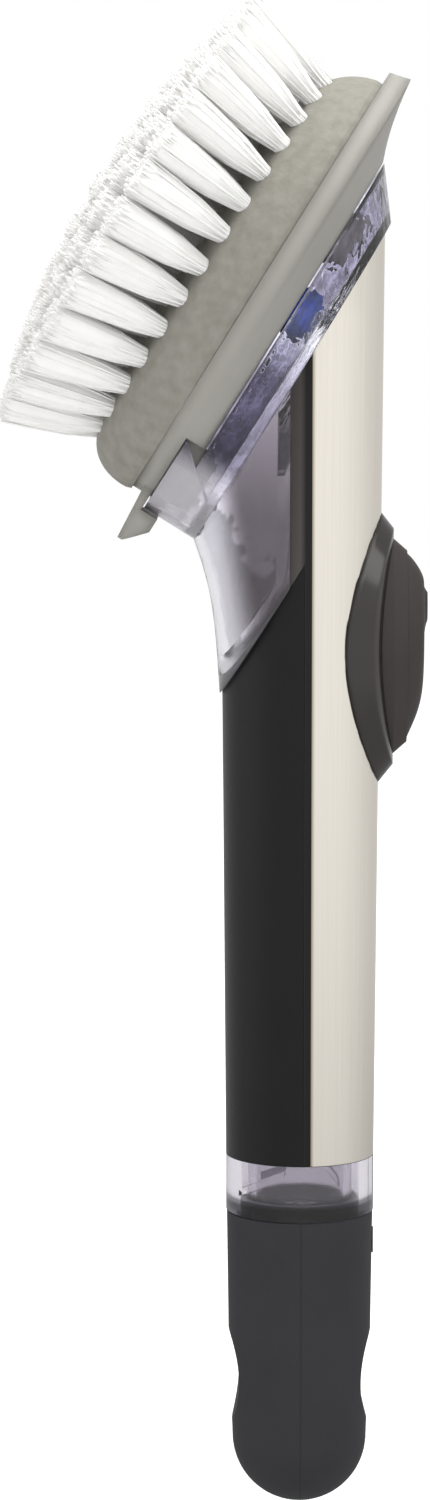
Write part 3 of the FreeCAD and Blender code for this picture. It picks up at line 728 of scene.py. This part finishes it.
def dense_middle(shell, foot, turn, length, held, fullness):
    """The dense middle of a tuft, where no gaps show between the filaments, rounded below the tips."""
    loops = []
    for step, wide in MIDDLE_SHAPE:
        level = held + (length - held) * step
        wide = max(wide * fullness, ROOT_RADIUS)
        loop = []
        for side in range(MIDDLE_SIDES):
            angle = side * math.tau / MIDDLE_SIDES
            out = Vector((math.cos(angle), math.sin(angle), 0))
            loop.append(shell.verts.new(on_head(foot + turn @ (out * wide + Vector((0, 0, level))))))
        loops.append(loop)
    for low, high in zip(loops, loops[1:]):
        for side in range(MIDDLE_SIDES):
            after = (side + 1) % MIDDLE_SIDES
            shell.faces.new((low[side], low[after], high[after], high[side])).smooth = True
    shell.faces.new(loops[0][::-1])
    shell.faces.new(loops[-1]).smooth = True


def bundle(shell, spot, chance, fullness):
    """One tuft: straight in its hole, then opening out to the domed surface of the tips."""
    along = spot.x / RING_HALF_LENGTH
    across = spot.y / RING_HALF_WIDTH
    run = Vector((along * TUFT_SPLAY, across * TUFT_SPLAY, 1)).normalized()
    turn = Vector((0, 0, 1)).rotation_difference(run)
    foot = Vector((TUFT_CENTRE + spot.x, spot.y, TUFT_FLOOR))
    tip = TIP_HEIGHT - TIP_DROP * (along * along + across * across)
    length = (tip - TUFT_FLOOR) / run.z
    held = (BLOCK_FACE - TUFT_FLOOR) / run.z
    dense_middle(shell, foot, turn, length, held, fullness)
    for k in range(FILAMENTS):
        share = ((k + 0.5) / FILAMENTS) ** CROWDING
        angle = k * GOLDEN_ANGLE + chance.uniform(-TURN_SCATTER, TURN_SCATTER)
        out = Vector((math.cos(angle), math.sin(angle), 0))
        reach = length + chance.uniform(*LENGTH_SCATTER) - OUTER_DROP * share * share
        tip_radius = TIP_RADIUS * fullness * chance.uniform(*OPENING_SCATTER)
        lean_up = chance.uniform(-LEAN_SCATTER, LEAN_SCATTER)
        lean = Vector((lean_up, chance.uniform(-LEAN_SCATTER, LEAN_SCATTER), 0))
        points = []
        for step in (0.0, held / reach, 0.5, 0.75, 1.0):
            opened = max(0.0, (step * reach - held) / (reach - held))
            wide = share * (ROOT_RADIUS + (tip_radius - ROOT_RADIUS) * opened ** OPENING_CURVE)
            points.append(foot + turn @ (out * wide + lean * opened + Vector((0, 0, step * reach))))
        filament(shell, points)


for index, (name, count) in enumerate(tuft_rings.items()):
    chance = random.Random(TUFT_SEED + index)
    shell = bmesh.new()
    for spot in ring_spots(index, count):
        bundle(shell, spot, chance, INNER_FULLNESS if name == "bristles_inner" else 1.0)
    mesh = bpy.data.meshes.new(name + "_filaments")
    shell.to_mesh(mesh)
    shell.free()
    mesh.materials.append(nylon)
    tufts = bpy.data.objects.new(name + "_filaments", mesh)
    bpy.context.collection.objects.link(tufts)
    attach(tufts, "brush_head")
    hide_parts(name)

# Return spring: a coil with closed end turns.
SPRING_TURNS = 6
SPRING_STEPS = 24
SPRING_WIRE = 0.6 * MM
WIRE_SIDES = 8


def coil_spring():
    """A wire wound round the pump's axis in the space of the solid, pitched open between its closed ends."""
    low, high = (Vector(corner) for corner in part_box("return_spring"))
    radius = (high.y - low.y - SPRING_WIRE) / 2
    pitch = (high.x - low.x - 3 * SPRING_WIRE) / (SPRING_TURNS - 2)
    shell = bmesh.new()
    loops = []
    for step in range(SPRING_TURNS * SPRING_STEPS + 1):
        turns = step / SPRING_STEPS
        opened = min(max(turns - 1, 0), SPRING_TURNS - 2)
        along = low.x + SPRING_WIRE / 2 + SPRING_WIRE * (turns - opened) + pitch * opened
        angle = turns * math.tau
        outward = Vector((0, math.cos(angle), math.sin(angle)))
        centre = Vector((along, (low.y + high.y) / 2, (low.z + high.z) / 2)) + outward * radius
        loop = []
        for side in range(WIRE_SIDES):
            turn = side * math.tau / WIRE_SIDES
            offset = outward * math.cos(turn) + Vector((math.sin(turn), 0, 0))
            loop.append(shell.verts.new(centre + offset * SPRING_WIRE / 2))
        loops.append(loop)
    for first, second in zip(loops, loops[1:]):
        for side in range(WIRE_SIDES):
            after = (side + 1) % WIRE_SIDES
            shell.faces.new((first[side], second[side], second[after], first[after])).smooth = True
    shell.faces.new(loops[0])
    shell.faces.new(loops[-1][::-1])
    bmesh.ops.recalc_face_normals(shell, faces=shell.faces)
    mesh = bpy.data.meshes.new("return_spring_coil")
    shell.to_mesh(mesh)
    shell.free()
    mesh.materials.append(spring_wire)
    coil = bpy.data.objects.new("return_spring_coil", mesh)
    bpy.context.collection.objects.link(coil)
    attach(coil, "handle")
    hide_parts("return_spring")
    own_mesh(coil)


coil_spring()

# Studio: a white floor, a large soft key light high on the right, others above and on the other sides.
CAP_FOOT = -54.3
CAP_DROP = 12.0
FLOOR_CLEARANCE = 0.6
# The floor is just clear of the cap when that is unscrewed.
FLOOR_LEVEL = (CAP_FOOT - CAP_DROP - FLOOR_CLEARANCE) * MM
FLOOR_REACH = 3.0
# Gloss shows a room that is brightest in front, a little to the right.
BRIGHT_TURN = math.radians(20)
BRIGHT_SIDE = (math.sin(BRIGHT_TURN), -math.cos(BRIGHT_TURN), 0)
ROOM_FADE = {"From Min": -0.3, "From Max": 0.8, "To Min": 0.68, "To Max": 1.0}
FLOOR_LIFT = {"From Min": 0.1, "From Max": 1.6, "To Min": 0.25, "To Max": 0.85}
FLOOR_DIMMING = {"From Min": 0.3, "From Max": 0.7, "To Min": 0.66, "To Max": 1.0}
FLOOR_BEHIND_CLEAR = 0.95
CARD_FADE = {"From Min": 0.35, "From Max": 0.7, "To Min": 1.0, "To Max": 0.3}
ROOM_LIGHT = 0.25


def white_paper():
    """Matt white paper with its shadows, lifted to white far off; gloss and clear pieces see it plain, gloss
    with a painted shadow near the foot.
    """
    material, tree, place = blank("white_paper_sweep")
    fibre = add(tree, "ShaderNodeTexNoise", {"Vector": place, "Scale": per(2), "Detail": 2.0})
    tint = add(
        tree,
        "ShaderNodeMix",
        {"Factor": fibre.outputs[0], "A": linear("#e6e6e6"), "B": linear("#ececec")},
        data_type="RGBA",
    )
    paper = add(tree, "ShaderNodeBsdfDiffuse", {"Color": tint.outputs["Result"]})
    away = add(tree, "ShaderNodeVectorMath", {0: place}, operation="LENGTH")
    far = add(tree, "ShaderNodeMapRange", {"Value": away.outputs["Value"], **FLOOR_LIFT})
    path = add(tree, "ShaderNodeLightPath").outputs
    lift = add(tree, "ShaderNodeMath", {0: path["Is Camera Ray"], 1: far.outputs[0]}, operation="MULTIPLY")
    glow = add(tree, "ShaderNodeEmission", {"Color": (1, 1, 1, 1), "Strength": lift.outputs[0]})
    both = add(tree, "ShaderNodeAddShader", {0: paper.outputs[0], 1: glow.outputs[0]})
    other = add(
        tree,
        "ShaderNodeMath",
        {0: path["Is Glossy Ray"], 1: path["Is Transmission Ray"]},
        operation="MAXIMUM",
    )
    heading = add(tree, "ShaderNodeVectorMath", {0: place}, operation="NORMALIZE")
    frontward = add(
        tree, "ShaderNodeVectorMath", {0: heading.outputs[0], 1: BRIGHT_SIDE}, operation="DOT_PRODUCT"
    )
    room = add(tree, "ShaderNodeMapRange", {"Value": frontward.outputs["Value"], **ROOM_FADE})
    # Painted shadow: gloss near the foot sees the floor close by dimmer, as in the object's shade.
    near = add(tree, "ShaderNodeMapRange", {"Value": away.outputs["Value"], **FLOOR_DIMMING})
    mirrored = add(tree, "ShaderNodeMath", {0: room.outputs[0], 1: near.outputs[0]}, operation="MULTIPLY")
    level = add(
        tree,
        "ShaderNodeMix",
        {0: path["Is Transmission Ray"], 2: mirrored.outputs[0], 3: FLOOR_BEHIND_CLEAR},
    )
    white = add(tree, "ShaderNodeEmission", {"Color": (1, 1, 1, 1), "Strength": level.outputs[0]})
    seen = add(tree, "ShaderNodeMixShader", {0: other.outputs[0], 1: both.outputs[0], 2: white.outputs[0]})
    add(tree, "ShaderNodeOutputMaterial", {"Surface": seen.outputs[0]})
    return material


corners = [(-1, -1), (1, -1), (1, 1), (-1, 1)]
floor_mesh = bpy.data.meshes.new("floor")
floor_mesh.from_pydata(
    [(x * FLOOR_REACH, y * FLOOR_REACH, FLOOR_LEVEL) for x, y in corners], [], [(0, 1, 2, 3)]
)
floor_mesh.materials.append(white_paper())
floor = bpy.data.objects.new("floor", floor_mesh)
bpy.context.collection.objects.link(floor)

world = bpy.data.worlds.new("studio")
world.use_nodes = True
bpy.context.scene.world = world
sky = world.node_tree
sky.nodes.clear()
path = add(sky, "ShaderNodeLightPath").outputs
toward = add(sky, "ShaderNodeTexCoord").outputs["Generated"]
frontward = add(sky, "ShaderNodeVectorMath", {0: toward, 1: BRIGHT_SIDE}, operation="DOT_PRODUCT")
room = add(sky, "ShaderNodeMapRange", {"Value": frontward.outputs["Value"], **ROOM_FADE})
# Clear pieces show grey cards at the sides, which draw their edges.
across = add(sky, "ShaderNodeSeparateXYZ", {"Vector": toward})
sideways = add(sky, "ShaderNodeMath", {0: across.outputs["X"]}, operation="ABSOLUTE")
cards = add(sky, "ShaderNodeMapRange", {"Value": sideways.outputs[0], **CARD_FADE})
light = add(sky, "ShaderNodeMix", {0: path["Is Camera Ray"], 2: ROOM_LIGHT, 3: 1.0})
gloss = add(sky, "ShaderNodeMix", {0: path["Is Glossy Ray"], 2: light.outputs[0], 3: room.outputs[0]})
level = add(sky, "ShaderNodeMix", {0: path["Is Transmission Ray"], 2: gloss.outputs[0], 3: cards.outputs[0]})
glow = add(sky, "ShaderNodeBackground", {"Color": (1, 1, 1, 1), "Strength": level.outputs[0]})
add(sky, "ShaderNodeOutputWorld", {"Surface": glow.outputs[0]})


def soft_box(name, place, aim, width, height, watts, in_gloss=False):
    """A rectangular soft light that faces a point; mirror reflections show most as the white room only."""
    data = bpy.data.lights.new(name, "AREA")
    data.shape = "RECTANGLE"
    data.size = width
    data.size_y = height
    data.energy = watts
    light = bpy.data.objects.new(name, data)
    light.location = place
    light.rotation_euler = (Vector(aim) - Vector(place)).to_track_quat("-Z", "Y").to_euler()
    light.visible_glossy = in_gloss
    bpy.context.collection.objects.link(light)


soft_box("key", (0.6, -0.7, 0.85), (-0.02, 0, 0.16), 0.9, 0.9, 5, True)
soft_box("front", (-0.1, -1.1, 0.3), (0, 0, 0.1), 1.4, 1.0, 5.5)
soft_box("top", (0.15, 0.0, 0.95), (0, 0, 0.15), 0.6, 0.6, 10)
soft_box("left", (-0.9, -0.2, 0.35), (0, 0, 0.12), 0.6, 1.0, 2.8, True)
soft_box("back", (-0.3, 1.1, 0.5), (0, 0, 0.1), 1.4, 1.0, 4)

# Camera: 0.72 m in front and a little above, 6 degrees down.
CAMERA_PLACE = Vector((-15.4, -716, 158.9)) * MM
CAMERA_TILT = math.radians(90 - 6)
lens = bpy.data.cameras.new("photo")
lens.sensor_width = 36
lens.lens = 96
camera = bpy.data.objects.new("photo", lens)
camera.location = CAMERA_PLACE
camera.rotation_euler = (CAMERA_TILT, 0, 0)
bpy.context.collection.objects.link(camera)
bpy.context.scene.camera = camera

bpy.context.view_layer.update()
